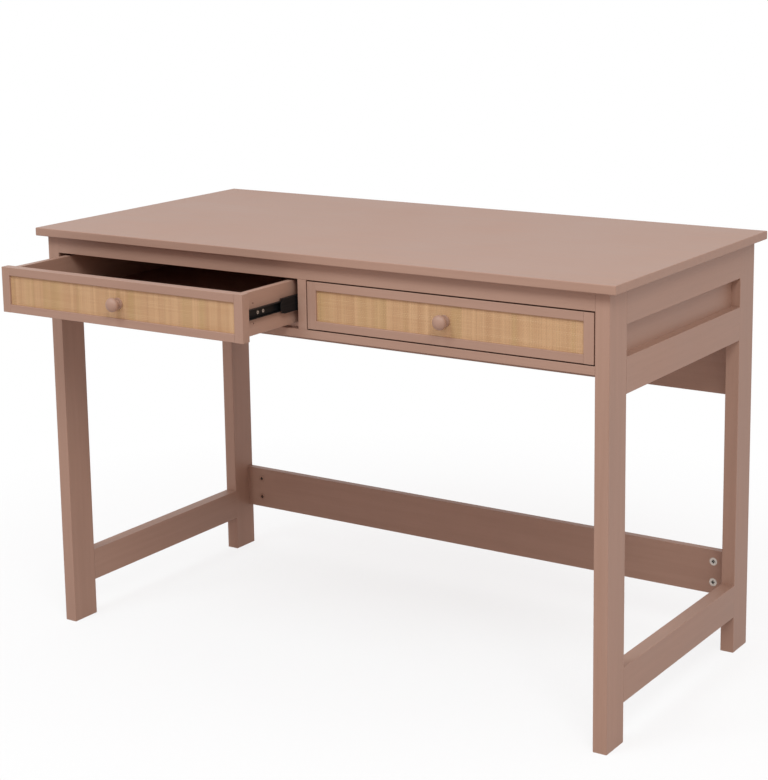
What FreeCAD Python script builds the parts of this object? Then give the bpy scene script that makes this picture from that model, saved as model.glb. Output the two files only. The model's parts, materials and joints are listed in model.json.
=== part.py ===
import FreeCAD, Part
import os
import re

from FreeCAD import Vector

# A writing desk with two side frames, a top, and two drawers on ball-bearing slides.
# X runs left to right, Y front to back, Z up. The floor is at Z 0. The origin is under the middle of
# the whole desk as it stands, with the left drawer drawn out.

doc = FreeCAD.newDocument("desk")
sizes = doc.addObject("Spreadsheet::Sheet", "Sizes")

# Driving sizes in millimetres
DRIVING = (
    ("top_width", 1200, "desk top, left to right"),
    ("top_depth", 600, "desk top, front to back"),
    ("top_thickness", 15, "desk top board"),
    ("desk_height", 770, "floor to writing surface"),
    ("side_overhang", 17, "top beyond the legs at each side"),
    ("front_overhang", 15, "top beyond the legs at the front"),
    ("back_overhang", 17, "top beyond the legs at the back"),
    ("edge_ease", 0.8, "rounding along the boards"),
    ("top_ease", 1.5, "rounding round the desk top"),
    ("stock_thickness", 25, "legs and side rails, left to right"),
    ("stock_width", 60, "width of leg and side rail stock"),
    ("side_recess_height", 52, "opening between the upper side rails"),
    ("side_panel_thickness", 8, "panel in that opening"),
    ("panel_lap", 6, "panel edge held in its rebate"),
    ("panel_play", 0.6, "panel's upper edge to the end of its rebate"),
    ("side_stretcher_foot", 68, "floor to the side stretchers"),
    ("back_board_thickness", 15, "back panel and back stretcher"),
    ("back_panel_drop", 285, "height of the back panel"),
    ("back_stretcher_foot", 88, "floor to the back stretcher"),
    ("back_stretcher_height", 84, "height of the back stretcher"),
    ("front_rail_thickness", 18, "front rails, front to back"),
    ("front_top_rail_height", 31.5, "rail above the drawers"),
    ("front_bottom_rail_height", 14, "rail below the drawers"),
    ("drawer_opening_height", 87, "between those two rails"),
    ("partition_thickness", 17.5, "board between the drawers"),
    ("drawer_open", 151, "how far the left drawer stands out"),
    ("drawer_side_gap", 2.2, "drawer front to leg or partition"),
    ("drawer_height_gap", 2.4, "drawer front to rail"),
    ("drawer_front_thickness", 17.5, "drawer front with its frame"),
    ("strip_thickness", 5, "frame strips on the drawer front"),
    ("stile_width", 18, "upright frame strips"),
    ("strip_rail_width", 14.5, "lying frame strips"),
    ("rattan_recess", 3, "rattan behind the face of the frame"),
    ("drawer_back_gap", 35.5, "box of a shut drawer to the back panel"),
    ("box_side_thickness", 12, "drawer sides and back"),
    ("box_side_height", 75, "drawer sides and back"),
    ("box_side_lift", 5.5, "drawer sides above the foot of the front"),
    ("box_bottom_thickness", 4, "drawer bottom"),
    ("box_bottom_lift", 8, "drawer bottom above the foot of the sides"),
    ("groove_depth", 5, "grooves that hold the drawer bottom"),
    ("groove_play", 0.2, "drawer bottom to groove, above and at its ends"),
    ("spare_hole_diameter", 3.2, "spare fixing holes in the drawer sides"),
    ("spare_hole_depth", 4, "the same"),
    ("spare_hole_setback", 25, "the same, behind the drawer front"),
    ("spare_hole_offset", 17, "the same, above and below the slide's middle"),
    ("slide_height", 35, "cabinet member"),
    ("slide_thickness", 12.7, "space that a slide takes beside the drawer"),
    ("slide_sheet", 1.2, "steel of the members"),
    ("slide_front_gap", 3, "slide to drawer front"),
    ("middle_set_back", 10, "middle member of a shut drawer behind the other two, at the front"),
    ("cabinet_flange", 9, "reach of the cabinet member's flanges"),
    ("middle_flange", 7.6, "reach of the middle member's flanges"),
    ("drawer_flange", 6.9, "reach of the drawer member's flanges"),
    ("web_gap", 1.7, "cabinet web to middle web"),
    ("ball_gap", 3.4, "between the flanges that the balls roll on"),
    ("ball_clearance", 0.3, "ball to each flange"),
    ("outer_ball_depth", 6, "outer balls from the face that carries the slide"),
    ("inner_ball_depth", 8.4, "inner balls from the same face"),
    ("ball_margin", 8, "last ball to the end of its cage"),
    ("ball_count", 8, "balls in a row"),
    ("cage_sheet", 0.6, "strip of the ball cages"),
    ("cage_gap", 0.6, "cage to the web behind it"),
    ("cage_flange", 6.6, "reach of the cages' flanges"),
    ("cage_end_gap", 46, "by which a ball cage is shorter than half a slide"),
    ("screw_diameter", 3.5, "slide screws"),
    ("screw_length", 12, "the same, over all"),
    ("screw_tip", 3, "the same, pointed end"),
    ("recess_width", 0.9, "cross recess of the screws"),
    ("recess_length", 3.2, "the same"),
    ("recess_depth", 0.8, "the same"),
    ("cabinet_screw_edge", 7, "cabinet screws from the inner edges of the legs"),
    ("drawer_screw_inset", 33, "first drawer screw behind the slide's front end"),
    ("drawer_screw_pitch", 15, "first to second drawer screw"),
    ("drawer_screw_end", 40, "last drawer screw ahead of the slide's back end"),
    ("screw_stagger", 12, "between the screws of the two slides on the partition"),
    ("fit_clearance", 0.1, "round a screw, dowel or fitting in its hole"),
    ("dowel_diameter", 8, "frame dowels"),
    ("dowel_length", 30, "the same"),
    ("dowel_spacing", 30, "between the two dowels at the end of a side rail"),
    ("front_dowel_spacing", 15, "the same in the upper front rail"),
    ("dowel_seat", 9, "dowel depth in a thin board"),
    ("dowel_end_play", 0.5, "dowel end to hole end"),
    ("box_dowel_diameter", 6, "drawer dowels"),
    ("box_dowel_length", 25, "the same"),
    ("box_dowel_spacing", 34, "between the two dowels of a drawer corner"),
    ("cam_diameter", 15, "cam locks"),
    ("cam_depth", 12, "the same"),
    ("cam_setback", 36, "cam lock to the joint it draws shut"),
    ("cam_spacing", 40, "between the two locks at the end of the back stretcher"),
    ("panel_cam_spacing", 60, "between the two locks at the end of the back panel"),
    ("panel_cam_drop", 72.5, "the top to the middle of those two"),
    ("panel_dowel_lift", 30, "foot of the back panel to its dowels"),
    ("top_cam_spacing", 300, "between the two locks that hold the top at each side"),
    ("cam_axis_depth", 7.5, "bolt behind the face of its lock"),
    ("cam_slot_width", 8.4, "way for the bolt in the lock and in the board"),
    ("cam_cross_length", 7, "cross recess of the lock"),
    ("cam_cross_width", 2.6, "the same"),
    ("cam_cross_depth", 2.5, "the same"),
    ("bolt_thread_diameter", 8, "thread of a cam bolt"),
    ("bolt_thread_length", 10.5, "the same"),
    ("bolt_shank_diameter", 6, "plain part of a cam bolt"),
    ("bolt_head_diameter", 7.4, "head of a cam bolt"),
    ("bolt_head_length", 5, "the same"),
    ("knob_length", 25, "knob, seat to tip"),
    ("knob_diameter", 25, "round head of the knob"),
    ("knob_head_length", 17, "the same, along its axis"),
    ("knob_neck_diameter", 13, "neck of the knob"),
    ("knob_base_diameter", 20, "foot of the knob"),
    ("knob_base_thickness", 3.5, "the same"),
    ("knob_screw_diameter", 4, "knob screw"),
    ("knob_screw_grip", 12, "knob screw in the knob"),
    ("knob_screw_head", 8, "head of the knob screw"),
    ("knob_screw_head_height", 2.5, "the same"),
    ("knob_recess_length", 4.5, "its cross recess"),
    ("knob_recess_width", 1.1, "the same"),
    ("knob_recess_depth", 1.4, "the same"),
    ("cut_over", 1, "how far a cut runs past a face"),
)

# Places worked out from the driving sizes
DERIVED = (
    ("under_top", "desk_height - top_thickness", "upper end of the legs"),
    ("leg_outer", "top_width / 2 - side_overhang", "outer face of a side frame"),
    ("leg_inner", "leg_outer - stock_thickness", "inner face of a side frame"),
    ("knob_reach", "knob_length - rattan_recess", "knob ahead of the drawer front"),
    ("whole_depth", "top_depth - front_overhang + drawer_open + knob_reach", "knob tip to back edge"),
    ("back_edge", "whole_depth / 2", "back edge of the top"),
    ("front_edge", "back_edge - top_depth", "front edge of the top"),
    ("front_face", "front_edge + front_overhang", "front of the legs and rails"),
    ("back_face", "back_edge - back_overhang", "back of the legs"),
    ("rail_front", "front_face + stock_width", "front ends of the side rails"),
    ("rail_back", "back_face - stock_width", "back ends of the side rails"),
    ("back_board_face", "back_face - back_board_thickness", "front of the back boards"),
    ("recess_high", "under_top - stock_width", "upper edge of the side recess"),
    ("recess_low", "recess_high - side_recess_height", "lower edge of the side recess"),
    ("opening_high", "under_top - front_top_rail_height", "upper edge of the drawer openings"),
    ("opening_low", "opening_high - drawer_opening_height", "lower edge of the drawer openings"),
    ("half_partition", "partition_thickness / 2", "middle of the desk to a face of the partition"),
    ("left_bay_low", "-leg_inner", "left face of the left drawer's bay"),
    ("left_bay_high", "-half_partition", "right face of the left drawer's bay"),
    ("right_bay_low", "half_partition", "left face of the right drawer's bay"),
    ("right_bay_high", "leg_inner", "right face of the right drawer's bay"),
    ("left_shift", "drawer_open", "the left drawer is drawn out"),
    ("right_shift", "0", "the right drawer is shut"),
    ("front_low", "opening_low + drawer_height_gap", "foot of the drawer fronts"),
    ("front_high", "opening_high - drawer_height_gap", "head of the drawer fronts"),
    ("knob_height", "(front_low + front_high) / 2", "middle of the drawer fronts"),
    ("box_low", "front_low + box_side_lift", "foot of the drawer sides"),
    ("box_high", "box_low + box_side_height", "head of the drawer sides"),
    ("slide_middle", "(box_low + box_high) / 2", "height of the slides' middle"),
    ("box_front", "front_face + drawer_front_thickness", "front of a shut drawer's box"),
    ("box_depth", "back_board_face - drawer_back_gap - box_front", "drawer sides, front to back"),
    ("slide_front", "box_front + slide_front_gap", "front ends of the slides of a shut drawer"),
    ("slide_length", "box_depth", "cabinet and drawer members of a slide"),
    ("cage_length", "slide_length / 2 - cage_end_gap", "ball cages"),
    ("cabinet_half", "slide_height / 2", "half the height of a cabinet member"),
    ("middle_half", "cabinet_half - slide_sheet - ball_gap", "the same of a middle member"),
    ("drawer_half", "middle_half - slide_sheet - ball_gap", "the same of a drawer member"),
    ("middle_web", "slide_sheet + web_gap", "cabinet face to middle member"),
    ("ball_diameter", "ball_gap - 2 * ball_clearance", "slide balls"),
    ("outer_ball_line", "middle_half + ball_gap / 2", "outer balls above the slide's middle"),
    ("inner_ball_line", "drawer_half + ball_gap / 2", "inner balls above the slide's middle"),
    ("outer_cage_web", "slide_sheet + cage_gap", "cabinet face to outer cage"),
    ("inner_cage_web", "middle_web + slide_sheet + cage_gap", "cabinet face to inner cage"),
    ("screw_head_diameter", "screw_diameter + 2 * slide_sheet", "countersunk heads as deep as the sheet"),
)


def fill_sheet(rows, first_row, lead):
    """Write one named value to each row of the sheet."""
    for row, (name, value, note) in enumerate(rows, first_row):
        sizes.set(f"A{row}", name)
        sizes.set(f"B{row}", f"{lead}{value}")
        sizes.setAlias(f"B{row}", name)
        sizes.set(f"C{row}", note)


fill_sheet(DRIVING, 1, "")
fill_sheet(DERIVED, len(DRIVING) + 1, "=")
doc.recompute()

ALONG_X = Vector(1, 0, 0)
ALONG_Y = Vector(0, 1, 0)
ALONG_Z = Vector(0, 0, 1)
SIDES = (("left", -1), ("right", 1))
HALVES = (-0.5, 0.5)
nodes = []


def n(name):
    """A named size as a number."""
    return float(sizes.get(name))


def bound(text):
    """The text of a sum with each size's name led back to the sheet."""
    return re.sub(r"[a-z][a-z_]*", lambda word: f"Sizes.{word.group()}", text)


def set_base(thing, place):
    """Tie the corner or foot of a thing to a place."""
    for axis, text in zip("xyz", place):
        thing.setExpression(f"Placement.Base.{axis}", bound(text))


def block(name, low, high):
    """A square-edged board between two corners."""
    box = doc.addObject("Part::Box", name)
    for size, start, end in zip(("Length", "Width", "Height"), low, high):
        box.setExpression(size, bound(f"({end}) - ({start})"))
    set_base(box, low)
    return box


def rod(name, place, diameter, length, direction=ALONG_Z):
    """A round bar with its foot at a place."""
    bar = doc.addObject("Part::Cylinder", name)
    bar.Placement = FreeCAD.Placement(Vector(), FreeCAD.Rotation(ALONG_Z, direction))
    bar.setExpression("Radius", bound(f"({diameter}) / 2"))
    bar.setExpression("Height", bound(length))
    set_base(bar, place)
    return bar


def taper(name, place, low_diameter, high_diameter, length):
    """A round taper standing on a place."""
    cone = doc.addObject("Part::Cone", name)
    cone.setExpression("Radius1", bound(f"({low_diameter}) / 2"))
    cone.setExpression("Radius2", bound(f"({high_diameter}) / 2"))
    cone.setExpression("Height", bound(length))
    set_base(cone, place)
    return cone


def cross(name, length, width, depth, face="0"):
    """The two bars of a cross recess, sunk from a face at a height."""
    spans = {"long": (length, width), "short": (width, length)}
    for bar, (x_size, y_size) in spans.items():
        low = (f"-{x_size} / 2", f"-{y_size} / 2", f"{face} - {depth}")
        high = (f"{x_size} / 2", f"{y_size} / 2", f"{face} + cut_over")
        yield block(f"{name}_cross_{bar}", low, high)


def fused(name, *pieces):
    """The pieces grown into one solid."""
    whole = doc.addObject("Part::MultiFuse", name)
    whole.Shapes = list(pieces)
    return whole


def cut(base, *tools):
    """The base with each tool taken out of it in turn."""
    for tool in tools:
        result = doc.addObject("Part::Cut", f"{base.Name}_cut")
        result.Base = base
        result.Tool = tool
        base = result
    return base


def eased(board, axis, radius, front_only=False):
    """The board with its edges along an axis rounded, or only those of its front face."""
    doc.recompute()
    front = board.Shape.BoundBox.YMin
    chosen = []
    for number, edge in enumerate(board.Shape.Edges, 1):
        along = edge.Vertexes[1].Point - edge.Vertexes[0].Point
        if abs(along.normalize().dot(axis)) < 0.5:
            continue
        if front_only and edge.BoundBox.YMax - front > radius:
            continue
        chosen.append((number, radius, radius))
    result = doc.addObject("Part::Fillet", f"{board.Name}_eased")
    result.Base = board
    result.Edges = chosen
    return result


def group(name, *members):
    """Separate solids kept together."""
    whole = doc.addObject("Part::Compound", name)
    whole.Links = list(members)
    return whole


def copies(name, master, placements):
    """Separate copies of a master, one at each placement."""
    doc.recompute()
    shapes = []
    for placement in placements:
        shape = master.Shape.copy()
        shape.Placement = placement.multiply(shape.Placement)
        shapes.append(shape)
    whole = doc.addObject("Part::Feature", name)
    whole.Shape = Part.makeCompound(shapes)
    whole.Placement = FreeCAD.Placement()
    return whole


def pointing(place, direction):
    """A placement at a place that turns +Z to a direction."""
    return FreeCAD.Placement(Vector(*place), FreeCAD.Rotation(ALONG_Z, Vector(*direction)))


def node(label, thing):
    """Keep a thing as the piece of that name."""
    thing.Label = label
    nodes.append(thing)


def beside(sign, near, far):
    """Low and high X of a span from near to far, counted from the middle of the desk to one side."""
    if sign > 0:
        return near, far
    return f"-({far})", f"-({near})"


def bay_faces(side):
    """The two faces that a drawer runs between, each with the way into the bay along X."""
    return (f"{side}_bay_low", 1), (f"{side}_bay_high", -1)


def peg(name, diameter, length):
    """A dowel about its own middle, and a hole for it that is a little larger."""
    pin = rod(name, ("0", "0", f"-{length} / 2"), diameter, length)
    hole = rod(
        f"{name}_hole",
        ("0", "0", f"-{length} / 2 - dowel_end_play"),
        f"{diameter} + 2 * fit_clearance",
        f"{length} + 2 * dowel_end_play",
    )
    return pin, hole


def side_rail_dowels():
    """Two dowels in each end of every side rail."""
    middle_x = n("leg_inner") + n("stock_thickness") / 2
    rail_middles = (
        n("under_top") - n("stock_width") / 2,
        n("recess_low") - n("stock_width") / 2,
        n("side_stretcher_foot") + n("stock_width") / 2,
    )
    for x in (-middle_x, middle_x):
        for y in (n("rail_front"), n("rail_back")):
            for z in rail_middles:
                for step in HALVES:
                    yield pointing((x, y, z + step * n("dowel_spacing")), ALONG_Y)


def front_rail_dowels():
    """Dowels that join the front rails to the legs."""
    x = n("leg_inner") + n("dowel_seat") - n("dowel_length") / 2
    y = n("front_face") + n("front_rail_thickness") / 2
    top_middle = n("under_top") - n("front_top_rail_height") / 2
    heights = [top_middle + step * n("front_dowel_spacing") for step in HALVES]
    heights.append(n("opening_low") - n("front_bottom_rail_height") / 2)
    for side, sign in SIDES:
        for z in heights:
            yield pointing((sign * x, y, z), ALONG_X)


def panel_dowels():
    """Dowels that hold the lower corners of the back panel to the legs."""
    x = n("leg_inner") + n("dowel_seat") - n("dowel_length") / 2
    y = n("back_board_face") + n("back_board_thickness") / 2
    z = n("under_top") - n("back_panel_drop") + n("panel_dowel_lift")
    for side, sign in SIDES:
        yield pointing((sign * x, y, z), ALONG_X)


def partition_dowels():
    """Dowels that hold the partition between the front rails and at the back panel."""
    seat = n("dowel_seat") - n("dowel_length") / 2
    front_y = n("front_face") + n("front_rail_thickness") / 2
    yield pointing((0, front_y, n("opening_high") + seat), ALONG_Z)
    yield pointing((0, front_y, n("opening_low") - seat), ALONG_Z)
    middle = (n("opening_low") + n("opening_high")) / 2
    for step in HALVES:
        place = (0, n("back_board_face") + seat, middle + step * n("dowel_spacing"))
        yield pointing(place, ALONG_Y)


# Frame dowels, each partly in one board and partly in the next
dowel, dowel_hole = peg("dowel", "dowel_diameter", "dowel_length")
dowel_places = [*side_rail_dowels(), *front_rail_dowels(), *panel_dowels(), *partition_dowels()]
node("frame_dowels", copies("frame_dowels", dowel, dowel_places))
frame_dowel_holes = copies("frame_dowel_holes", dowel_hole, dowel_places)

# Cam fittings: a lock lies in the face of one board and draws in a bolt that is screwed into the next
bolt_head_foot = ("0", "0", "-cam_setback - bolt_head_length / 2")
cam_bolt = fused(
    "cam_bolt",
    rod("bolt_thread", ("0", "0", "0"), "bolt_thread_diameter", "bolt_thread_length"),
    rod("bolt_shank", ("0", "0", "-cam_setback"), "bolt_shank_diameter", "cam_setback"),
    rod("bolt_head", bolt_head_foot, "bolt_head_diameter", "bolt_head_length"),
)
thread_hole_diameter = "bolt_thread_diameter + 2 * fit_clearance"
bolt_hole = fused(
    "bolt_hole",
    rod("thread_hole", ("0", "0", "0"), thread_hole_diameter, "bolt_thread_length + fit_clearance"),
    rod("shank_hole", ("0", "0", "-cam_setback"), "cam_slot_width", "cam_setback"),
)
cam_slot_foot = ("-bolt_head_length", "0", "-cam_axis_depth")
cam_lock = cut(
    rod("cam_body", ("0", "0", "-cam_depth"), "cam_diameter", "cam_depth"),
    rod("cam_slot", cam_slot_foot, "cam_slot_width", "cam_diameter", ALONG_X),
    *cross("cam", "cam_cross_length", "cam_cross_width", "cam_cross_depth"),
)
cam_hole = rod(
    "cam_hole",
    ("0", "0", "-cam_depth - fit_clearance"),
    "cam_diameter + 2 * fit_clearance",
    "cam_depth + fit_clearance + cut_over",
)


def cam_joints():
    """Where a bolt leaves its board, the way it points, and the way that its lock faces."""
    board_middle = n("back_board_face") + n("cam_axis_depth")
    stretcher_middle = n("back_stretcher_foot") + n("back_stretcher_height") / 2
    panel_middle = n("under_top") - n("panel_cam_drop")
    rail_middle = (n("rail_front") + n("rail_back")) / 2
    forward = -ALONG_Y
    for side, sign in SIDES:
        outward = ALONG_X * sign
        joint_x = sign * n("leg_inner")
        top_x = sign * (n("leg_inner") + n("cam_axis_depth"))
        for step in HALVES:
            stretcher_z = stretcher_middle + step * n("cam_spacing")
            panel_z = panel_middle + step * n("panel_cam_spacing")
            top_y = rail_middle + step * n("top_cam_spacing")
            yield Vector(joint_x, board_middle, stretcher_z), outward, forward
            yield Vector(joint_x, board_middle, panel_z), outward, forward
            yield Vector(top_x, top_y, n("under_top")), ALONG_Z, -outward


def lock_placement(joint, way, face):
    """A lock set back from the joint and open towards it."""
    centre = joint - way * n("cam_setback") + face * n("cam_axis_depth")
    return FreeCAD.Placement(centre, FreeCAD.Rotation(way, face.cross(way), face, "ZXY"))


bolt_places = [pointing(joint, way) for joint, way, face in cam_joints()]
lock_places = [lock_placement(*joint) for joint in cam_joints()]
node("cam_bolts", copies("cam_bolts", cam_bolt, bolt_places))
node("cam_locks", copies("cam_locks", cam_lock, lock_places))
bolt_holes = copies("bolt_holes", bolt_hole, bolt_places)
cam_holes = copies("cam_holes", cam_hole, lock_places)

# Slide screws: countersunk in the steel, with their face at the origin
sink_foot = ("0", "0", "-slide_sheet")
screw_foot = ("0", "0", "-screw_length")
shank_foot = ("0", "0", "screw_tip - screw_length")
shank_length = "screw_length - screw_tip - slide_sheet"
screw = cut(
    fused(
        "screw_body",
        taper("screw_head", sink_foot, "screw_diameter", "screw_head_diameter", "slide_sheet"),
        rod("screw_shank", shank_foot, "screw_diameter", shank_length),
        taper("screw_point", screw_foot, "recess_width", "screw_diameter", "screw_tip"),
    ),
    *cross("screw", "recess_length", "recess_width", "recess_depth"),
)
pilot_diameter = "screw_diameter + 2 * fit_clearance"
sink_diameter = "screw_head_diameter + 2 * fit_clearance"
pilot_foot = ("0", "0", "-screw_length - fit_clearance")
screw_hole = fused(
    "screw_hole",
    taper("sink_hole", sink_foot, pilot_diameter, sink_diameter, "slide_sheet"),
    rod("pilot_hole", pilot_foot, pilot_diameter, "screw_length + fit_clearance"),
)


def cabinet_screw_places():
    """Two screws in each cabinet member, into the legs or, staggered, into the partition."""
    first = n("rail_front") - n("cabinet_screw_edge")
    last = n("rail_back") + n("cabinet_screw_edge")
    for side, sign in SIDES:
        for face, inward in bay_faces(side):
            x = n(face) + inward * n("slide_sheet")
            stagger = n("screw_stagger") if face == "right_bay_low" else 0
            for y in (first + stagger, last - stagger):
                yield pointing((x, y, n("slide_middle")), (inward, 0, 0))


cabinet_places = list(cabinet_screw_places())
node("cabinet_slide_screws", copies("cabinet_slide_screws", screw, cabinet_places))
cabinet_screw_holes = copies("cabinet_screw_holes", screw_hole, cabinet_places)


def desk_top():
    """The writing surface, rounded all round, with the threads of its cam bolts."""
    low = ("-top_width / 2", "front_edge", "under_top")
    high = ("top_width / 2", "back_edge", "desk_height")
    board = block("top_board", low, high)
    doc.recompute()
    rounded = doc.addObject("Part::Fillet", "top_board_eased")
    rounded.Base = board
    radius = n("top_ease")
    rounded.Edges = [(number, radius, radius) for number in range(1, len(board.Shape.Edges) + 1)]
    node("desk_top", cut(rounded, bolt_holes))


def side_frame(side, sign):
    """Two legs, three rails and the recessed panel of one side."""
    x_low, x_high = beside(sign, "leg_inner", "leg_outer")
    panel_low, panel_high = beside(sign, "leg_inner", "leg_inner + side_panel_thickness")
    seat_low, seat_high = beside(sign, "leg_inner - cut_over", "leg_inner + side_panel_thickness")
    seat = block(
        f"{side}_panel_seat",
        (seat_low, "rail_front - cut_over", "recess_low - panel_lap"),
        (seat_high, "rail_back + cut_over", "recess_high + panel_lap"),
    )
    panel = block(
        f"{side}_panel",
        (panel_low, "rail_front", "recess_low - panel_lap"),
        (panel_high, "rail_back", "recess_high + panel_lap - panel_play"),
    )
    node(f"side_panel_{side}", panel)

    leg_spans = {"front": ("front_face", "rail_front"), "back": ("rail_back", "back_face")}
    for end, (y_low, y_high) in leg_spans.items():
        leg = block(f"{side}_{end}_leg", (x_low, y_low, "0"), (x_high, y_high, "under_top"))
        leg = eased(leg, ALONG_Z, n("edge_ease"))
        tools = [frame_dowel_holes, cabinet_screw_holes]
        if end == "back":
            tools.append(bolt_holes)
        node(f"leg_{end}_{side}", cut(leg, *tools))

    rail_spans = {
        "side_top_rail": ("recess_high", "under_top"),
        "side_bottom_rail": ("recess_low - stock_width", "recess_low"),
        "side_stretcher": ("side_stretcher_foot", "side_stretcher_foot + stock_width"),
    }
    for name, (z_low, z_high) in rail_spans.items():
        rail = block(f"{side}_{name}", (x_low, "rail_front", z_low), (x_high, "rail_back", z_high))
        rail = eased(rail, ALONG_Y, n("edge_ease"))
        tools = [frame_dowel_holes]
        if name != "side_stretcher":
            tools.append(seat)
        if name == "side_top_rail":
            tools += [bolt_holes, cam_holes]
        node(f"{name}_{side}", cut(rail, *tools))


def cross_board(label, y_span, z_span, *tools):
    """A board from one side frame to the other."""
    low = ("-leg_inner", y_span[0], z_span[0])
    high = ("leg_inner", y_span[1], z_span[1])
    board = eased(block(f"{label}_board", low, high), ALONG_X, n("edge_ease"))
    node(label, cut(board, *tools))


def cross_boards():
    """Back panel, back stretcher and the two front rails."""
    back_span = ("back_board_face", "back_face")
    front_span = ("front_face", "front_face + front_rail_thickness")
    panel_span = ("under_top - back_panel_drop", "under_top")
    stretcher_span = ("back_stretcher_foot", "back_stretcher_foot + back_stretcher_height")
    bottom_span = ("opening_low - front_bottom_rail_height", "opening_low")
    cross_board("back_panel", back_span, panel_span, frame_dowel_holes, bolt_holes, cam_holes)
    cross_board("back_stretcher", back_span, stretcher_span, bolt_holes, cam_holes)
    cross_board("front_top_rail", front_span, ("opening_high", "under_top"), frame_dowel_holes)
    cross_board("front_bottom_rail", front_span, bottom_span, frame_dowel_holes)


def center_partition():
    """The board between the drawers, whose front edge is the divider."""
    low = ("-half_partition", "front_face", "opening_low")
    high = ("half_partition", "back_board_face", "opening_high")
    board = eased(block("partition_board", low, high), ALONG_Z, n("edge_ease"), front_only=True)
    node("center_partition", cut(board, frame_dowel_holes, cabinet_screw_holes))


def channel(name, face, inward, closed, open_end, way, half, sheet, run):
    """A bent strip of steel beside a face of a bay, open on one side.

    closed and open_end are depths from the face into the bay; way is 1 where the flanges point into
    the bay and -1 where they point back at the face.
    """
    def slab(label, start, end, half_height, y_span):
        x_span = [f"{face} + ({inward}) * ({depth})" for depth in (start, end)]
        if inward * way < 0:
            x_span.reverse()
        low = (x_span[0], y_span[0], f"slide_middle - ({half_height})")
        high = (x_span[1], y_span[1], f"slide_middle + {half_height}")
        return block(label, low, high)

    whole = slab(f"{name}_blank", closed, open_end, half, run)
    hollow = slab(
        f"{name}_hollow",
        f"{closed} + ({way}) * {sheet}",
        f"{open_end} + ({way}) * cut_over",
        f"{half} - {sheet}",
        (f"{run[0]} - cut_over", f"{run[1]} + cut_over"),
    )
    return cut(whole, hollow)


def drawer_screw_places(side):
    """Three screws in each drawer member, into the side of the box."""
    front = n("slide_front") - n(f"{side}_shift")
    first = front + n("drawer_screw_inset")
    last = front + n("slide_length") - n("drawer_screw_end")
    depth = n("slide_thickness") - n("slide_sheet")
    for face, inward in bay_faces(side):
        for y in (first, first + n("drawer_screw_pitch"), last):
            yield pointing((n(face) + inward * depth, y, n("slide_middle")), (-inward, 0, 0))


# What is cut off a middle member to round its front end
nose_low = ("-middle_half - cut_over", "-middle_half - cut_over", "-cut_over")
nose_high = ("middle_half + cut_over", "0", "middle_flange + cut_over")
nose_foot = ("0", "0", "-2 * cut_over")
nose_round = rod("nose_round", nose_foot, "2 * middle_half", "middle_flange + 4 * cut_over")
nose_waste = cut(block("nose_blank", nose_low, nose_high), nose_round)


def nose_places(side):
    """The middles of the rounded ends of a drawer's middle members."""
    y = n("slide_front") - n(f"{side}_shift") / 2 + n("middle_set_back") + n("middle_half")
    for face, inward in bay_faces(side):
        yield pointing((n(face) + inward * n("middle_web"), y, n("slide_middle")), (inward, 0, 0))


def slide_set(side, label, share, closed, open_end, way, half, holes, set_back="0"):
    """The same member of both slides of a drawer, moved its share of the drawer's way."""
    front = f"slide_front - {side}_shift * {share}"
    run = (f"{front} + {set_back}", f"{front} + slide_length")
    members = []
    for face, inward in bay_faces(side):
        name = f"{face}_{label}"
        member = channel(name, face, inward, closed, open_end, way, half, "slide_sheet", run)
        members.append(cut(member, *holes))
    node(f"{side}_{label}", group(f"{side}_{label}", *members))


def slides(side, drawer_screw_holes):
    """Cabinet, middle and drawer members of a drawer's slides."""
    cabinet_span = ("0", "cabinet_flange", 1)
    middle_span = ("middle_web", "middle_web + middle_flange", 1)
    drawer_span = ("slide_thickness", "slide_thickness - drawer_flange", -1)
    slide_set(side, "cabinet_slides", 0, *cabinet_span, "cabinet_half", [cabinet_screw_holes])
    noses = copies(f"{side}_middle_noses", nose_waste, nose_places(side))
    slide_set(side, "middle_slides", 0.5, *middle_span, "middle_half", [noses], "middle_set_back")
    slide_set(side, "drawer_slides", 1, *drawer_span, "drawer_half", [drawer_screw_holes])


# Slide balls and the holes that hold them in their cages
ball = doc.addObject("Part::Sphere", "ball")
ball.setExpression("Radius", bound("ball_diameter / 2"))
ball_hole_foot = ("0", "0", "-ball_gap / 2")
ball_hole = rod("ball_hole", ball_hole_foot, "ball_diameter + 2 * fit_clearance", "ball_gap")


def ball_places(side, row, share, face, inward):
    """Two straight rows of balls, above and below the middle of a slide."""
    x = n(face) + inward * n(f"{row}_ball_depth")
    middle_y = n("slide_front") + n("slide_length") / 2 - share * n(f"{side}_shift")
    reach = n("cage_length") / 2 - n("ball_margin")
    last = int(n("ball_count")) - 1
    for number in range(last + 1):
        y = middle_y + reach * (2 * number / last - 1)
        for way in (-1, 1):
            yield pointing((x, y, n("slide_middle") + way * n(f"{row}_ball_line")), ALONG_Z)


def ball_cages(side, row, share):
    """The cages of one row of balls in both slides of a drawer, with their balls."""
    middle = f"slide_front + slide_length / 2 - {side}_shift * {share}"
    run = (f"{middle} - cage_length / 2", f"{middle} + cage_length / 2")
    web = f"{row}_cage_web"
    half = f"{row}_ball_line + cage_sheet / 2"
    pieces = []
    for face, inward in bay_faces(side):
        name = f"{face}_{row}_cage"
        places = list(ball_places(side, row, share, face, inward))
        strip = channel(name, face, inward, web, f"{web} + cage_flange", 1, half, "cage_sheet", run)
        pieces.append(cut(strip, copies(f"{name}_holes", ball_hole, places)))
        pieces.append(copies(f"{name}_balls", ball, places))
    node(f"{side}_{row}_ball_cages", group(f"{side}_{row}_ball_cages", *pieces))


# Drawer dowels
box_dowel, box_dowel_hole = peg("box_dowel", "box_dowel_diameter", "box_dowel_length")


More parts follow.
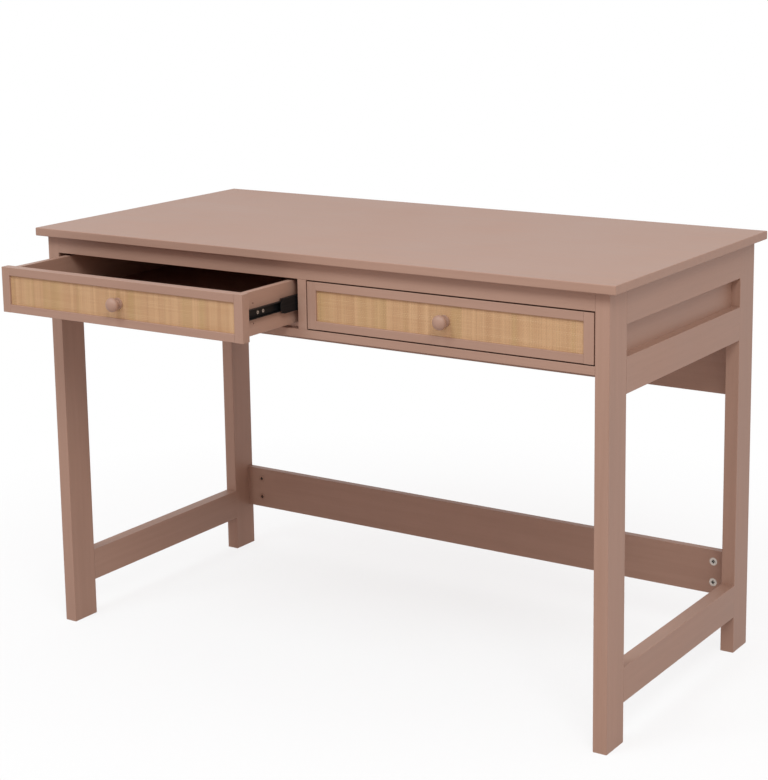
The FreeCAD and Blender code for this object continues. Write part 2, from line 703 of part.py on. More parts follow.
def box_dowel_places(side):
    """Two dowels at each corner of a drawer: along Y at the front, along X at the back."""
    seat = n("dowel_seat") - n("box_dowel_length") / 2
    front_y = n("box_front") - n(f"{side}_shift")
    back_y = front_y + n("box_depth") - n("box_side_thickness") / 2
    for face, inward in bay_faces(side):
        outer_x = n(face) + inward * n("slide_thickness")
        inner_x = outer_x + inward * n("box_side_thickness")
        for step in HALVES:
            z = n("slide_middle") + step * n("box_dowel_spacing")
            middle_x = (outer_x + inner_x) / 2
            yield pointing((middle_x, front_y - seat, z), ALONG_Y)
            yield pointing((inner_x - inward * seat, back_y, z), ALONG_X)


def spare_hole_places(side):
    """Two unused fixing holes near the front of each drawer side."""
    y = n("box_front") - n(f"{side}_shift") + n("spare_hole_setback")
    for face, inward in bay_faces(side):
        x = n(face) + inward * n("slide_thickness")
        for way in (-1, 1):
            yield pointing((x, y, n("slide_middle") + way * n("spare_hole_offset")), (-inward, 0, 0))


spare_hole = rod(
    "spare_hole",
    ("0", "0", "-spare_hole_depth"),
    "spare_hole_diameter",
    "spare_hole_depth + cut_over",
)

# Knob, standing on its foot: foot, neck and round head, with a hole for its screw
knob_head = doc.addObject("Part::Ellipsoid", "knob_head")
knob_head.setExpression("Radius1", bound("knob_head_length / 2"))
knob_head.setExpression("Radius2", bound("knob_diameter / 2"))
knob_head.setExpression("Radius3", bound("knob_diameter / 2"))
set_base(knob_head, ("0", "0", "knob_length - knob_head_length / 2"))
knob_hole_diameter = "knob_screw_diameter + 2 * fit_clearance"
knob_hole_length = "knob_screw_grip + cut_over + fit_clearance"
knob = cut(
    fused(
        "knob_body",
        rod("knob_base", ("0", "0", "0"), "knob_base_diameter", "knob_base_thickness"),
        rod("knob_neck", ("0", "0", "0"), "knob_neck_diameter", "knob_length - knob_head_length / 2"),
        knob_head,
    ),
    rod("knob_hole", ("0", "0", "-cut_over"), knob_hole_diameter, knob_hole_length),
)

# Knob screw, with the underside of its head at the origin, and its way through board and rattan
screwed_through = "drawer_front_thickness - rattan_recess"
knob_shank_length = f"{screwed_through} + knob_screw_grip"
knob_shank_foot = ("0", "0", f"-({knob_shank_length})")
knob_recess = ("knob_recess_length", "knob_recess_width", "knob_recess_depth")
knob_screw = cut(
    fused(
        "knob_screw_body",
        rod("knob_screw_shank", knob_shank_foot, "knob_screw_diameter", knob_shank_length),
        rod("knob_screw_top", ("0", "0", "0"), "knob_screw_head", "knob_screw_head_height"),
    ),
    *cross("knob_screw", *knob_recess, "knob_screw_head_height"),
)
knob_way_foot = ("0", "0", f"-({screwed_through}) - cut_over")
knob_way_length = f"{screwed_through} + 2 * cut_over"
knob_screw_way = rod("knob_screw_way", knob_way_foot, knob_hole_diameter, knob_way_length)


def drawer_front(side, face, x_span, screw_way, groove, dowel_holes):
    """Front board, the frame of four strips on it and the rattan inside the frame."""
    frame_back = f"{face} + strip_thickness"
    board = block(
        f"{side}_front_board",
        (x_span[0], frame_back, "front_low"),
        (x_span[1], f"{face} + drawer_front_thickness", "front_high"),
    )
    node(f"{side}_drawer_front_board", cut(board, dowel_holes, groove, screw_way))

    inner_x = (f"{x_span[0]} + stile_width", f"{x_span[1]} - stile_width")
    inner_z = ("front_low + strip_rail_width", "front_high - strip_rail_width")
    strips = {
        "left": (x_span[0], inner_x[0], "front_low", "front_high", ALONG_Z),
        "right": (inner_x[1], x_span[1], "front_low", "front_high", ALONG_Z),
        "top": (*inner_x, inner_z[1], "front_high", ALONG_X),
        "bottom": (*inner_x, "front_low", inner_z[0], ALONG_X),
    }
    for place, (x_low, x_high, z_low, z_high, axis) in strips.items():
        strip = block(f"{side}_strip_{place}", (x_low, face, z_low), (x_high, frame_back, z_high))
        node(f"{side}_drawer_frame_{place}", eased(strip, axis, n("edge_ease"), front_only=True))
    rattan_low = (inner_x[0], f"{face} + rattan_recess", inner_z[0])
    rattan = block(f"{side}_rattan", rattan_low, (inner_x[1], frame_back, inner_z[1]))
    node(f"{side}_drawer_rattan", cut(rattan, screw_way))


def drawer_box(side, front, groove, dowel_holes, screw_holes):
    """Two sides, the back and the bottom that lies in their grooves."""
    spare_holes = copies(f"{side}_spare_holes", spare_hole, spare_hole_places(side))
    back = f"{front} + box_depth"
    back_front = f"{back} - box_side_thickness"
    bay_low, bay_high = f"{side}_bay_low", f"{side}_bay_high"
    inner_low = f"{bay_low} + slide_thickness + box_side_thickness"
    inner_high = f"{bay_high} - slide_thickness - box_side_thickness"
    sides = {
        "left": (f"{bay_low} + slide_thickness", inner_low),
        "right": (inner_high, f"{bay_high} - slide_thickness"),
    }
    for place, (x_low, x_high) in sides.items():
        board = block(f"{side}_box_{place}", (x_low, front, "box_low"), (x_high, back, "box_high"))
        board = eased(board, ALONG_Y, n("edge_ease"))
        tools = (dowel_holes, groove, screw_holes, spare_holes)
        node(f"{side}_drawer_side_{place}", cut(board, *tools))
    board = block(f"{side}_box_back", (inner_low, back_front, "box_low"), (inner_high, back, "box_high"))
    board = eased(board, ALONG_X, n("edge_ease"))
    node(f"{side}_drawer_back", cut(board, dowel_holes, groove))

    lap = "groove_depth - groove_play"
    bottom_low = (f"{inner_low} - ({lap})", f"{front} - ({lap})", "box_low + box_bottom_lift")
    bottom_high = (
        f"{inner_high} + {lap}",
        f"{back_front} + {lap}",
        "box_low + box_bottom_lift + box_bottom_thickness",
    )
    node(f"{side}_drawer_bottom", block(f"{side}_box_bottom", bottom_low, bottom_high))


def bottom_groove(side, front):
    """The space that the drawer bottom is slid into."""
    reach = "slide_thickness + box_side_thickness - groove_depth"
    low = (f"{side}_bay_low + {reach}", f"{front} - groove_depth", "box_low + box_bottom_lift")
    high = (
        f"{side}_bay_high - ({reach})",
        f"{front} + box_depth - box_side_thickness + groove_depth",
        "box_low + box_bottom_lift + box_bottom_thickness + groove_play",
    )
    return block(f"{side}_bottom_groove", low, high)


def drawer(side):
    """One drawer with its front, box, knob and slides."""
    face = f"front_face - {side}_shift"
    front = f"box_front - {side}_shift"
    x_span = (f"{side}_bay_low + drawer_side_gap", f"{side}_bay_high - drawer_side_gap")
    middle_x = (n(f"{side}_bay_low") + n(f"{side}_bay_high")) / 2
    seat_y = n("front_face") - n(f"{side}_shift") + n("rattan_recess")
    inside_y = n("box_front") - n(f"{side}_shift")

    dowel_places = list(box_dowel_places(side))
    dowel_holes = copies(f"{side}_box_dowel_holes", box_dowel_hole, dowel_places)
    node(f"{side}_drawer_dowels", copies(f"{side}_drawer_dowels", box_dowel, dowel_places))
    screw_places = list(drawer_screw_places(side))
    screw_holes = copies(f"{side}_drawer_screw_holes", screw_hole, screw_places)
    node(f"{side}_drawer_slide_screws", copies(f"{side}_drawer_slide_screws", screw, screw_places))

    knob_screw_place = [pointing((middle_x, inside_y, n("knob_height")), ALONG_Y)]
    screw_way = copies(f"{side}_knob_screw_way", knob_screw_way, knob_screw_place)
    node(f"{side}_drawer_knob_screw", copies(f"{side}_drawer_knob_screw", knob_screw, knob_screw_place))
    knob_place = [pointing((middle_x, seat_y, n("knob_height")), -ALONG_Y)]
    node(f"{side}_drawer_knob", copies(f"{side}_drawer_knob", knob, knob_place))

    groove = bottom_groove(side, front)
    drawer_front(side, face, x_span, screw_way, groove, dowel_holes)
    drawer_box(side, front, groove, dowel_holes, screw_holes)
    slides(side, screw_holes)
    ball_cages(side, "outer", 0.25)
    ball_cages(side, "inner", 0.75)


def write_parts():
    """Check every piece, then write each to its own file."""
    doc.recompute()
    failed = [thing.Name for thing in doc.Objects if {"Invalid", "Error"} & set(thing.State)]
    failed += [piece.Label for piece in nodes if piece.Shape.isNull() or not piece.Shape.isValid()]
    if failed:
        raise RuntimeError(f"not built: {failed}")
    os.makedirs("parts", exist_ok=True)
    for piece in nodes:
        piece.Shape.exportStep(f"parts/{piece.Label}.step")
    print(len(nodes), "pieces")


desk_top()
cross_boards()
center_partition()
for side, sign in SIDES:
    side_frame(side, sign)
    drawer(side)
write_parts()
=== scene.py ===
import json
import math
import random

import bpy
from mathutils import Matrix, Vector


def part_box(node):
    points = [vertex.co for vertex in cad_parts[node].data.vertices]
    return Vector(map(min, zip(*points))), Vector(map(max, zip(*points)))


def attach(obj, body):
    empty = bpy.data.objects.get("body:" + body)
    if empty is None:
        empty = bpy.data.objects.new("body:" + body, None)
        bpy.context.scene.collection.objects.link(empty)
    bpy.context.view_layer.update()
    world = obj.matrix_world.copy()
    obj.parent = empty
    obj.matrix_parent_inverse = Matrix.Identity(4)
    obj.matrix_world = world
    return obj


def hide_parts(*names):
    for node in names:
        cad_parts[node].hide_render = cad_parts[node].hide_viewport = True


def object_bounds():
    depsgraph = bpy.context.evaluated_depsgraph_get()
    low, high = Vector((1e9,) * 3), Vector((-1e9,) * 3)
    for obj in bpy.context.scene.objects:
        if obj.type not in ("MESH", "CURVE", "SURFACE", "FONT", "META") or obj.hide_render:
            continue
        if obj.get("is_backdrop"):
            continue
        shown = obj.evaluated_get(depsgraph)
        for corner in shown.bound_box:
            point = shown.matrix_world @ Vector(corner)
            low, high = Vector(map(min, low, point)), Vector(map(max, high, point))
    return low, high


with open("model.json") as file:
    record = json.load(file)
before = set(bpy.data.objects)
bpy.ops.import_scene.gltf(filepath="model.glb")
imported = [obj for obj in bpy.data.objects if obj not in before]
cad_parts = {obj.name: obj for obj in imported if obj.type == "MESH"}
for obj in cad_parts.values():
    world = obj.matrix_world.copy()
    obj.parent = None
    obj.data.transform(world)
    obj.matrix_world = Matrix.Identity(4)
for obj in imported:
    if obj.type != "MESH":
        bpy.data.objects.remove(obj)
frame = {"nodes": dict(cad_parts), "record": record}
cad_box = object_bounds()
nodes = frame["nodes"]
MM = 0.001

# Colours, as linear light
PAINT_LIGHT = (0.424, 0.252, 0.186, 1)
PAINT_DARK = (0.386, 0.225, 0.163, 1)
PAINT_PORE = (0.300, 0.165, 0.115, 1)
# Paler paint on the edges: partly rubbed paint, partly a painted highlight
PAINT_EDGE_WEAR_AND_HIGHLIGHT = (0.520, 0.335, 0.255, 1)
# Painted shade: the paint's colour deep inside drawers, gaps and other closed spaces
PAINTED_SHADE_BROWN = (0.260, 0.118, 0.080, 1)
STRAW_PALE = (0.640, 0.382, 0.200, 1)
STRAW_WARM = (0.500, 0.268, 0.128, 1)
STRAW_OLIVE = (0.465, 0.286, 0.112, 1)
STRAW_BROWN = (0.400, 0.206, 0.092, 1)
THREAD_PALE = (0.615, 0.402, 0.224, 1)
THREAD_DARK = (0.495, 0.290, 0.146, 1)
STEEL_BLACK = (0.004, 0.004, 0.0045, 1)
STEEL_WORN = (0.030, 0.030, 0.032, 1)
ZINC_PALE = (0.640, 0.580, 0.520, 1)
ZINC_DULL = (0.480, 0.430, 0.380, 1)
# Painted shade: near black in the zinc's recesses
ZINC_PAINTED_SHADE = (0.012, 0.008, 0.006, 1)
BEECH_PALE = (0.640, 0.460, 0.290, 1)
BEECH_DARK = (0.520, 0.350, 0.200, 1)
WHITE = (1, 1, 1, 1)

# Finishes: width and share of the paler edges, rubbed and on the paint partly a painted highlight; how far
# around a spot its painted shade looks; and the gloss
PAINT_EDGE_WIDTH = 1.6 * MM
PAINT_EDGE_SHARE = 0.35
PAINTED_SHADE_REACH = 250 * MM
PAINT_GLOSS = 0.35
STEEL_EDGE_WIDTH = 0.5 * MM
STEEL_EDGE_SHARE = 0.6
STEEL_GLOSS = 0.18
ZINC_PAINTED_SHADE_REACH = 6 * MM
ZINC_METAL = 0.5

# Heights of the fine relief
STREAK_HEIGHT = 0.25 * MM
PEEL_HEIGHT = 0.02 * MM
FIBRE_HEIGHT = 0.06 * MM
SPECK_HEIGHT = 0.03 * MM
SCRATCH_HEIGHT = 0.01 * MM

# The limits that most of a noise lies between, and closer ones for a stronger contrast
NOISE = (0.3, 0.7)
NOISE_CLOSE = (0.35, 0.65)

# The dot product of a face's normal and the rounded one, where an edge begins and where it is full
EDGE_TURN = (0.97, 0.70)


class Tree:
    """A node tree, and short ways to add and join its nodes."""

    def __init__(self, tree):
        self.tree = tree

    def add(self, kind, inputs=None, **settings):
        """A node with its settings and inputs; an input is a value or another node's output."""
        new = self.tree.nodes.new(kind)
        for key, value in settings.items():
            setattr(new, key, value)
        for key, value in (inputs or {}).items():
            self.set(new.inputs[key], value)
        return new

    def set(self, socket, value):
        """Give a socket a value or join an output to it."""
        if isinstance(value, bpy.types.NodeSocket):
            self.tree.links.new(value, socket)
        else:
            socket.default_value = value

    def span(self, value, low, high, to_low=0.0, to_high=1.0):
        """A value's span from low to high spread over another."""
        inputs = {"Value": value, "From Min": low, "From Max": high, "To Min": to_low, "To Max": to_high}
        return self.add("ShaderNodeMapRange", inputs).outputs["Result"]

    def math(self, operation, *values):
        """One sum of values or outputs."""
        new = self.add("ShaderNodeMath", operation=operation)
        for socket, value in zip(new.inputs, values):
            self.set(socket, value)
        return new.outputs["Value"]

    def mix(self, share, first, second):
        """Colour that goes from first to second as share goes from 0 to 1."""
        new = self.add("ShaderNodeMix", data_type="RGBA")
        self.set(new.inputs["Factor"], share)
        colours = [socket for socket in new.inputs if socket.type == "RGBA"]
        self.set(colours[0], first)
        self.set(colours[1], second)
        return [socket for socket in new.outputs if socket.type == "RGBA"][0]

    def shown(self):
        """1 for a ray from the camera, off a gloss or through glass, 0 for light that spreads."""
        path = self.add("ShaderNodeLightPath").outputs
        shown = self.math("MAXIMUM", path["Is Camera Ray"], path["Is Glossy Ray"])
        return self.math("MAXIMUM", shown, path["Is Transmission Ray"])


class Shader(Tree):
    """A new material with its surface, and the ways to vary it."""

    def __init__(self, name):
        self.material = bpy.data.materials.new(name)
        self.material.use_nodes = True
        super().__init__(self.material.node_tree)
        self.surface = self.tree.nodes["Principled BSDF"]
        self.place = self.add("ShaderNodeTexCoord").outputs["Object"]

    def noise(self, scale=1.0, detail=3.0, roughness=0.5, stretch=(1, 1, 1), offset=(0, 0, 0)):
        """Noise stretched along some axes, from 0 to 1."""
        mapping = self.add("ShaderNodeMapping", {"Vector": self.place, "Scale": stretch, "Location": offset})
        inputs = {
            "Vector": mapping.outputs["Vector"],
            "Scale": scale,
            "Detail": detail,
            "Roughness": roughness,
        }
        return self.add("ShaderNodeTexNoise", inputs).outputs["Fac"]

    def shade(self, colour, amount):
        """A colour made lighter or darker by a changing amount."""
        inputs = {"Color": colour, "Value": amount}
        return self.add("ShaderNodeHueSaturation", inputs).outputs["Color"]

    def edges(self, width, share):
        """The share on sharp edges, falling to 0 on flat faces."""
        rounded = self.add("ShaderNodeBevel", {"Radius": width}, samples=4).outputs["Normal"]
        flat = self.add("ShaderNodeNewGeometry").outputs["Normal"]
        dot = self.add("ShaderNodeVectorMath", {0: rounded, 1: flat}, operation="DOT_PRODUCT")
        return self.span(dot.outputs["Value"], *EDGE_TURN, 0.0, share)

    def painted_shade_mask(self, reach, low, high):
        """Mask for painted shade: 0 deep inside a closed space, 1 in the open, from what stands within
        reach.
        """
        shut_in = self.add("ShaderNodeAmbientOcclusion", {"Distance": reach}, samples=12)
        return self.span(shut_in.outputs["AO"], low, high)

    def bump(self, height, distance, strength, under=None):
        """A normal from a height, on top of another normal."""
        new = self.add("ShaderNodeBump", {"Height": height, "Distance": distance, "Strength": strength})
        if under is not None:
            self.set(new.inputs["Normal"], under)
        return new.outputs["Normal"]

    def finish(self, **inputs):
        """Set the surface's sockets and give back the material."""
        for key, value in inputs.items():
            self.set(self.surface.inputs[key.replace("_", " ")], value)
        return self.material


def along(axis, lengthwise, crosswise):
    """A stretch for grain that runs along one of the axes 0, 1 and 2."""
    return tuple(lengthwise if number == axis else crosswise for number in range(3))


def painted_wood(name, axis):
    """Taupe paint on close-grained wood: faint streaks and pores, a soft sheen, paler edges that are partly
    rubbed paint and partly a painted highlight, and painted shade in closed spaces.
    """
    s = Shader(name)
    streaks = s.noise(detail=7.0, roughness=0.62, stretch=along(axis, 3.0, 70.0))
    pores = s.noise(roughness=0.6, stretch=along(axis, 28.0, 620.0))
    patches = s.noise(scale=4.5, detail=2.0)
    peel = s.noise(scale=900.0, detail=2.0)
    board = s.add("ShaderNodeObjectInfo").outputs["Random"]

    colour = s.mix(s.span(streaks, 0.32, 0.68), PAINT_DARK, PAINT_LIGHT)
    colour = s.mix(s.span(pores, 0.62, 0.78, 0.0, 0.45), colour, PAINT_PORE)
    # Paler edges: partly rubbed paint, partly a painted highlight where edges catch the light
    colour = s.mix(s.edges(PAINT_EDGE_WIDTH, PAINT_EDGE_SHARE), colour, PAINT_EDGE_WEAR_AND_HIGHLIGHT)
    patch_tone = s.span(patches, *NOISE, 0.965, 1.015)
    board_tone = s.span(board, 0.0, 1.0, -0.02, 0.02)
    colour = s.shade(colour, s.math("ADD", patch_tone, board_tone))
    # Painted shade: the paint turns darker brown deep inside drawers, gaps and recesses, from ambient
    # occlusion
    colour = s.mix(s.painted_shade_mask(PAINTED_SHADE_REACH, 0.0, 0.26), PAINTED_SHADE_BROWN, colour)

    roughness = s.span(s.math("ADD", streaks, patches), 0.6, 1.4, 0.40, 0.54)
    normal = s.bump(streaks, STREAK_HEIGHT, 0.5)
    normal = s.bump(peel, PEEL_HEIGHT, 0.6, normal)
    return s.finish(Base_Color=colour, Roughness=roughness, Normal=normal, Specular_IOR_Level=PAINT_GLOSS)


def rattan_strands():
    """Split cane: each strand has its own tone, in bands, with fine fibres along it."""
    s = Shader("rattan_strands")
    bands = s.noise(roughness=0.6, stretch=(75.0, 0.0, 1.2))
    tints = s.noise(detail=2.0, stretch=(38.0, 0.0, 0.8), offset=(7.0, 0.0, 0.0))
    strand = s.noise(detail=1.0, stretch=(430.0, 0.0, 3.0))
    fibres = s.noise(detail=4.0, roughness=0.6, stretch=(3000.0, 900.0, 60.0))
    colour = s.mix(s.span(bands, *NOISE_CLOSE), STRAW_WARM, STRAW_PALE)
    colour = s.mix(s.span(tints, 0.52, 0.70, 0.0, 0.7), colour, STRAW_OLIVE)
    colour = s.mix(s.span(strand, 0.45, 0.25, 0.0, 0.6), colour, STRAW_BROWN)
    colour = s.shade(colour, s.span(fibres, *NOISE, 0.92, 1.04))
    roughness = s.span(fibres, *NOISE, 0.42, 0.60)
    normal = s.bump(fibres, FIBRE_HEIGHT, 0.6)
    return s.finish(Base_Color=colour, Roughness=roughness, Normal=normal)


def rattan_threads():
    """The thinner cross threads of the weave."""
    s = Shader("rattan_threads")
    lines = s.noise(detail=2.0, stretch=(6.0, 0.0, 300.0))
    fibres = s.noise(detail=4.0, roughness=0.6, stretch=(60.0, 900.0, 3000.0))
    colour = s.mix(s.span(lines, *NOISE_CLOSE), THREAD_DARK, THREAD_PALE)
    colour = s.shade(colour, s.span(fibres, *NOISE, 0.92, 1.04))
    return s.finish(Base_Color=colour, Roughness=s.span(fibres, *NOISE, 0.45, 0.62))


def black_steel():
    """Black coated steel, rubbed to grey on its edges and along its run."""
    s = Shader("black_steel")
    rubbed = s.noise(detail=5.0, roughness=0.65, stretch=(420.0, 5.0, 420.0))
    specks = s.noise(scale=700.0, detail=2.0)
    colour = s.mix(s.span(rubbed, 0.50, 0.80, 0.0, 0.5), STEEL_BLACK, STEEL_WORN)
    colour = s.mix(s.edges(STEEL_EDGE_WIDTH, STEEL_EDGE_SHARE), colour, STEEL_WORN)
    roughness = s.span(rubbed, *NOISE, 0.50, 0.34)
    normal = s.bump(specks, SPECK_HEIGHT, 0.5)
    return s.finish(Base_Color=colour, Roughness=roughness, Normal=normal, Specular_IOR_Level=STEEL_GLOSS)


def zinc(name, brown_at_left=False):
    """Dull zinc plate with cloudy tone and fine scratches, with painted shade in its recesses."""
    s = Shader(name)
    clouds = s.noise(scale=600.0, detail=4.0)
    scratches = s.noise(roughness=0.6, stretch=(5000.0, 900.0, 5000.0))
    colour = s.mix(s.span(clouds, *NOISE_CLOSE), ZINC_DULL, ZINC_PALE)
    # The locks at the left, below x = 0, take the paint's darker brown
    if brown_at_left:
        x = s.add("ShaderNodeSeparateXYZ", {"Vector": s.place}).outputs["X"]
        colour = s.mix(s.math("LESS_THAN", x, 0.0), colour, PAINT_DARK)
    # Painted shade: near black in the recesses, such as the locks' cross, from ambient occlusion
    colour = s.mix(s.painted_shade_mask(ZINC_PAINTED_SHADE_REACH, 0.45, 0.85), ZINC_PAINTED_SHADE, colour)
    roughness = s.span(scratches, *NOISE, 0.34, 0.55)
    normal = s.bump(scratches, SCRATCH_HEIGHT, 0.5)
    return s.finish(Base_Color=colour, Roughness=roughness, Normal=normal, Metallic=ZINC_METAL)


def bare_beech():
    """Unpainted beech of the dowels."""
    s = Shader("bare_beech")
    grain = s.noise(scale=260.0, detail=5.0, roughness=0.6)
    colour = s.mix(s.span(grain, *NOISE_CLOSE), BEECH_DARK, BEECH_PALE)
    return s.finish(Base_Color=colour, Roughness=s.span(grain, *NOISE, 0.6, 0.75))


# The axis that the grain of a painted board runs along, by words in its name
GRAIN = (
    ("leg_", 2),
    ("frame_left", 2),
    ("frame_right", 2),
    ("side_", 1),
    ("partition", 1),
    ("knob", 1),
)


def grain_axis(name):
    """The grain axis of a board, lengthwise along X where no word says otherwise."""
    for word, axis in GRAIN:
        if word in name:
            return axis
    return 0


def dress_nodes(rattan):
    """Give every node the finish of its material slot; the cam locks at the left take the paint's darker
    brown.
    """
    paints = [painted_wood(f"painted_wood_{letter}", axis) for axis, letter in enumerate("xyz")]
    lock_zinc = zinc("lock_zinc", brown_at_left=True)
    plain = {
        "black_steel": black_steel(),
        "zinc_steel": zinc("zinc"),
        "bare_wood": bare_beech(),
        "rattan": rattan,
    }
    for part in frame["record"]["subparts"]:
        name = part["node"]
        finish = plain.get(part["material_slot"]) or paints[grain_axis(name)]
        if name == "cam_locks":
            finish = lock_zinc
        nodes[name].data.materials.clear()
        nodes[name].data.materials.append(finish)


def mesh_piece(name, verts, faces, material):
    """A mesh object from points and faces."""
    mesh = bpy.data.meshes.new(name)
    mesh.from_pydata(verts, [], faces)
    mesh.update()
    mesh.materials.append(material)
    piece = bpy.data.objects.new(name, mesh)
    bpy.context.scene.collection.objects.link(piece)
    return piece


def add_tube(verts, faces, rings):
    """Join rings of points, all of one count, into a closed tube with flat ends."""
    first = len(verts)
    count = len(rings[0])
    for ring in rings:
        verts.extend(ring)
    for step in range(len(rings) - 1):
        for corner in range(count):
            here = first + step * count + corner
            beside = first + step * count + (corner + 1) % count
            faces.append((here, beside, beside + count, here + count))
    faces.append(tuple(range(first + count - 1, first - 1, -1)))
    last = first + (len(rings) - 1) * count
    faces.append(tuple(range(last, last + count)))


def tubes_piece(name, tubes, material):
    """A mesh object from closed tubes, each given by its rings of points."""
    verts, faces = [], []
    for rings in tubes:
        add_tube(verts, faces, rings)
    return mesh_piece(name, verts, faces, material)


# The weave: strands stand, threads lie, and each passes in front of and behind the other in turn
STRAND_PITCH = 2.3 * MM
STRAND_STRAY = 0.05
STRAND_FILL = (0.93, 1.0)
STRAND_HALF = 0.12 * MM
THREAD_PITCH = 3.0 * MM
THREAD_WIDTH = 1.5 * MM
THREAD_HALF = 0.10 * MM
WEAVE_SWING = 0.11 * MM
WEAVE_DEPTH = 0.5 * MM
STEPS = 4


def strand_places(low, high, chance):
    """Middle and width of each upright strand across the panel."""
    count = round((high - low) / STRAND_PITCH)
    pitch = (high - low) / count
    for number in range(count):
        middle = low + (number + 0.5) * pitch + chance.uniform(-STRAND_STRAY, STRAND_STRAY) * pitch
        yield middle, pitch * chance.uniform(*STRAND_FILL)


def strand_ring(x, y, z, width):
    """The four points round an upright strand."""
    return [
        (x - width / 2, y, z),
        (x, y - STRAND_HALF, z),
        (x + width / 2, y, z),
        (x, y + STRAND_HALF, z),
    ]


def thread_ring(x, y, z):
    """The four points round a level thread."""
    return [
        (x, y, z - THREAD_WIDTH / 2),
        (x, y - THREAD_HALF, z),
        (x, y, z + THREAD_WIDTH / 2),
        (x, y + THREAD_HALF, z),
    ]


def strand_tubes(low, high, strands, thread_count):
    """The rings of each upright strand, which passes before one thread and behind the next."""
    depth = low.y + WEAVE_DEPTH
    pitch = (high.z - low.z) / thread_count
    for number, (x, width) in enumerate(strands):
        rings = []
        for step in range(thread_count * STEPS + 1):
            z = low.z + step * pitch / STEPS
            swing = WEAVE_SWING * math.cos(math.pi * (step / STEPS - 0.5 + number))
            rings.append(strand_ring(x, depth - swing, z, width))
        yield rings


def thread_tubes(low, high, strands, thread_count):
    """The rings of each level thread, which keeps to the other side of every strand."""
    depth = low.y + WEAVE_DEPTH
    pitch = (high.z - low.z) / thread_count
    for number in range(thread_count):
        z = low.z + (number + 0.5) * pitch
        rings = [thread_ring(low.x, depth, z)]
        for strand, (x, _) in enumerate(strands):
            swing = WEAVE_SWING * (-1) ** (number + strand)
            rings.append(thread_ring(x, depth + swing, z))
        rings.append(thread_ring(high.x, depth, z))
        yield rings


def weave(side, strand_finish, thread_finish):
    """Upright cane strands over and under level threads, in place of a drawer's rattan sheet."""
    low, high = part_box(f"{side}_drawer_rattan")
    strands = list(strand_places(low.x, high.x, random.Random(side)))
    thread_count = round((high.z - low.z) / THREAD_PITCH)
    tubes = strand_tubes(low, high, strands, thread_count)
    upright = tubes_piece(f"{side}_rattan_strands", tubes, strand_finish)
    tubes = thread_tubes(low, high, strands, thread_count)
    level = tubes_piece(f"{side}_rattan_threads", tubes, thread_finish)

    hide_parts(f"{side}_drawer_rattan")
    for piece in (upright, level):
        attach(piece, f"{side}_drawer")


# The photograph's view: place and turn of the camera, and its frame of 768 x 780
CAMERA_PLACE = (1.8531, -2.7397, 1.3065)
CAMERA_YAW = 0.5867
CAMERA_PITCH = -0.18532
CAMERA_ROLL = -0.01503
FOCAL_PIXELS = 1875.5
FRAME_HEIGHT = 780
MIDDLE_ROW = 281
SENSOR = 36


def camera():
    """A camera at the photograph's view."""
    forward = Vector((
        -math.sin(CAMERA_YAW) * math.cos(CAMERA_PITCH),
        math.cos(CAMERA_YAW) * math.cos(CAMERA_PITCH),
        math.sin(CAMERA_PITCH),
    ))
    level = Vector((math.cos(CAMERA_YAW), math.sin(CAMERA_YAW), 0))
    upright = level.cross(forward)
    right = level * math.cos(CAMERA_ROLL) + upright * math.sin(CAMERA_ROLL)
    up = upright * math.cos(CAMERA_ROLL) - level * math.sin(CAMERA_ROLL)
    turn = Matrix((right, up, -forward)).transposed().to_4x4()

    data = bpy.data.cameras.new("camera")
    data.sensor_width = SENSOR
    data.lens = FOCAL_PIXELS / FRAME_HEIGHT * SENSOR
    data.shift_y = (MIDDLE_ROW - FRAME_HEIGHT / 2) / FRAME_HEIGHT
    eye = bpy.data.objects.new("camera", data)
    eye.matrix_world = Matrix.Translation(CAMERA_PLACE) @ turn
    bpy.context.scene.collection.objects.link(eye)
    bpy.context.scene.camera = eye


# The floor: its colour as it is seen and as it throws light back, and how it clears to white outwards.
# It starts above 0.75 clear, because a faint ring shows in the cleaned picture where it passes that share.
FLOOR_SEEN = (1.0, 0.985, 0.975, 1)
FLOOR_BOUNCE = (0.60, 0.54, 0.51, 1)
FLOOR_ROUGHNESS = 0.9
FLOOR_CLEAR = 0.76
FLOOR_FADE = (0.3, 1.5)
FLOOR_REACH = 3.0
FLOOR_DROP = 0.2 * MM


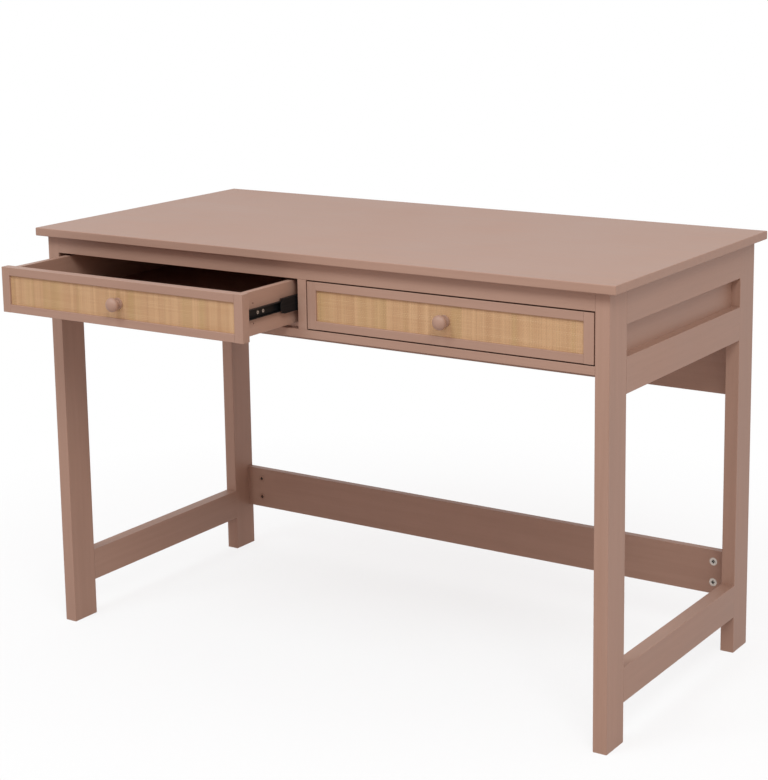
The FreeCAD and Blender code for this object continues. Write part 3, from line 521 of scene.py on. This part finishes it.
def floor():
    """A pale floor that keeps the desk's soft shadow and fades into the white surroundings."""
    s = Shader("floor")
    shown = s.shown()
    colour = s.mix(shown, FLOOR_BOUNCE, FLOOR_SEEN)
    s.finish(Base_Color=colour, Roughness=FLOOR_ROUGHNESS, Specular_IOR_Level=0.0)
    distance = s.add("ShaderNodeVectorMath", {0: s.place}, operation="LENGTH").outputs["Value"]
    clear = s.math("MULTIPLY", shown, s.span(distance, *FLOOR_FADE, FLOOR_CLEAR, 1.0))
    see_through = s.add("ShaderNodeBsdfTransparent").outputs["BSDF"]
    inputs = {0: clear, 1: s.surface.outputs["BSDF"], 2: see_through}
    faded = s.add("ShaderNodeMixShader", inputs).outputs["Shader"]
    s.set(s.tree.nodes["Material Output"].inputs["Surface"], faded)
    corners = [(-1, -1), (1, -1), (1, 1), (-1, 1)]
    verts = [(x * FLOOR_REACH, y * FLOOR_REACH, -FLOOR_DROP) for x, y in corners]
    mesh_piece("floor", verts, [(0, 1, 2, 3)], s.material)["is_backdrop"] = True


# The light of the surroundings, and three square lights that face the desk's middle
AMBIENT = (0.564, 0.489, 0.492, 1)
LIT_MIDDLE = Vector((0, 0.05, 0.5))
LIGHTS = {
    "left_light": {"place": (-0.9, -2.6, 3.8), "size": 1.5, "power": 68, "colour": (0.77, 0.94, 1.0)},
    "right_light": {"place": (2.2, -2.4, 3.4), "size": 1.6, "power": 66, "colour": (0.92, 0.99, 1.0)},
    "side_light": {"place": (3.7, -1.4, 1.2), "size": 2.2, "power": 9, "colour": (0.75, 1.0, 0.95)},
}


def area_light(name, place, size, power, colour):
    """A square soft light that faces the desk's middle."""
    data = bpy.data.lights.new(name, "AREA")
    data.size = size
    data.energy = power
    data.color = colour
    lamp = bpy.data.objects.new(name, data)
    lamp.location = place
    lamp.rotation_euler = (LIT_MIDDLE - Vector(place)).to_track_quat("-Z", "Y").to_euler()
    bpy.context.scene.collection.objects.link(lamp)


def surroundings():
    """A world that looks white and lights the desk dimly and warmly."""
    world = bpy.data.worlds.new("surroundings")
    world.use_nodes = True
    t = Tree(world.node_tree)
    t.set(t.tree.nodes["Background"].inputs["Color"], t.mix(t.shown(), AMBIENT, WHITE))
    bpy.context.scene.world = world
    bpy.context.scene.view_settings.view_transform = "Standard"


strand_finish = rattan_strands()
thread_finish = rattan_threads()
dress_nodes(strand_finish)
for side in ("left", "right"):
    weave(side, strand_finish, thread_finish)
floor()
surroundings()
for name, light in LIGHTS.items():
    area_light(name, **light)
camera()

boxes = {"cad": cad_box, "visual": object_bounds()}
{name: [list(corner) for corner in box] for name, box in boxes.items()}
